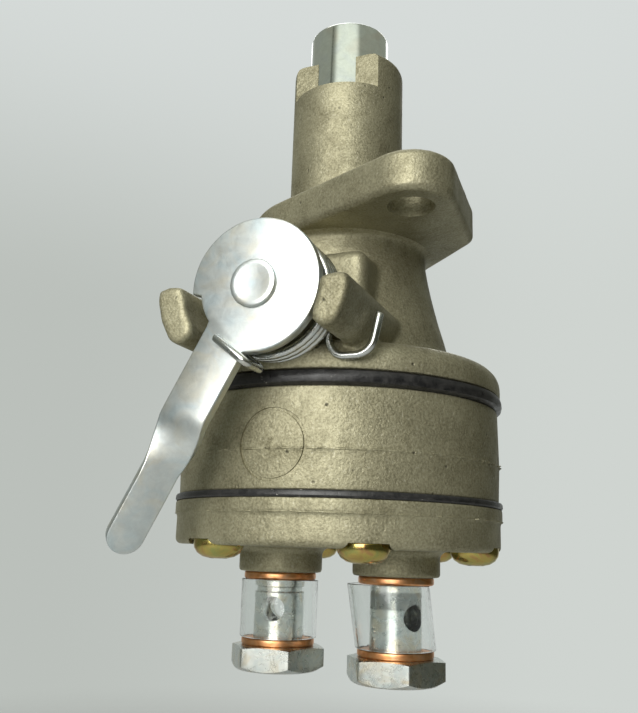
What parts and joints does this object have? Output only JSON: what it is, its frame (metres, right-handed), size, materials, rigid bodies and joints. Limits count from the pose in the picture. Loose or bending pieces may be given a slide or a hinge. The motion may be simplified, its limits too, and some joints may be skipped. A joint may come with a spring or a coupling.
{
  "type": "fuel lift pump",
  "caption": "Diaphragm fuel lift pump: tappet in a flanged snout, hand priming lever with torsion spring, round two-part body and two banjo ports below.",
  "frame": {"origin": "centre of the mounting flange's upper face, where the pump's axis crosses it", "axes": "+Z along the pump's axis towards the tappet's tip; -Y from the axis towards the priming lever; X runs through both ports, +X to the outlet"},
  "size_m": [0.0674, 0.0778, 0.1408],
  "materials": {
    "cast_aluminium": "as cast, fine grain, matt",
    "ground_steel": "ground and polished",
    "spring_steel": "bright drawn wire",
    "zinc_steel": "bright zinc plate",
    "yellow_zinc": "yellow passivated zinc plate",
    "copper": "soft annealed copper",
    "brass": "machined",
    "black_rubber": "black fabric-reinforced rubber",
    "clear_plastic": "clear soft plastic sleeve"
  },
  "bodies": {
    "housing": {"bottom_cover": "cast_aluminium", "cover_gasket": "black_rubber", "cover_screws": "yellow_zinc", "diaphragm": "black_rubber", "inlet_banjo_bolt": "zinc_steel", "inlet_lower_washer": "copper", "inlet_sleeve": "clear_plastic", "inlet_upper_washer": "copper", "inlet_valve_cage": "brass", "inlet_valve_seat": "brass", "inlet_valve_spring": "spring_steel", "lever_spring": "spring_steel", "lower_housing": "cast_aluminium", "outlet_banjo_bolt": "zinc_steel", "outlet_lower_washer": "copper", "outlet_sleeve": "clear_plastic", "outlet_upper_washer": "copper", "outlet_valve_cage": "brass", "outlet_valve_seat": "brass", "outlet_valve_spring": "spring_steel", "return_spring": "spring_steel", "rod_guide": "cast_aluminium", "rod_seal": "black_rubber", "upper_housing": "cast_aluminium"},
    "tappet": {"tappet": "ground_steel", "tappet_clip": "spring_steel"},
    "rod": {"pull_rod": "ground_steel", "diaphragm_upper_plate": "zinc_steel", "diaphragm_lower_plate": "zinc_steel", "diaphragm_nut": "zinc_steel", "delivery_spring": "spring_steel"},
    "lever": {"priming_lever": "zinc_steel", "priming_shaft": "zinc_steel", "shaft_clip": "spring_steel", "shaft_o_ring": "black_rubber"},
    "inlet_valve": {"inlet_valve_disc": "black_rubber"},
    "outlet_valve": {"outlet_valve_disc": "black_rubber"}
  },
  "joints": [
    {"name": "tappet_slide", "type": "slide", "parent": "housing", "child": "tappet", "axis": [0, 0, 1], "range_m": [-0.004, 0], "stiffness_N_per_m": 1200, "springref_m": 0.005, "deforming": ["delivery_spring"]},
    {"name": "lever_hinge", "type": "hinge", "parent": "housing", "child": "lever", "pos_m": [0, -0.04, -0.027], "axis": [0, -1, 0], "range_deg": [0, 66], "stiffness_Nm_per_rad": 0.06, "springref_deg": -28.65, "deforming": ["lever_spring"]},
    {"name": "rod_slide", "type": "slide", "parent": "housing", "child": "rod", "axis": [0, 0, 1], "range_m": [-0.00327, 0], "deforming": ["return_spring", "diaphragm"]},
    {"name": "inlet_valve_lift", "type": "slide", "parent": "housing", "child": "inlet_valve", "axis": [0, 0, 1], "range_m": [0, 0.0012], "stiffness_N_per_m": 15, "springref_m": -0.003, "deforming": ["inlet_valve_spring"]},
    {"name": "outlet_valve_lift", "type": "slide", "parent": "housing", "child": "outlet_valve", "axis": [0, 0, -1], "range_m": [0, 0.0012], "stiffness_N_per_m": 15, "springref_m": -0.003, "deforming": ["outlet_valve_spring"]}
  ],
  "couplings": [
    {"joint": "lever_hinge", "follows": "rod_slide", "rad_per_m": -352.5}
  ]
}
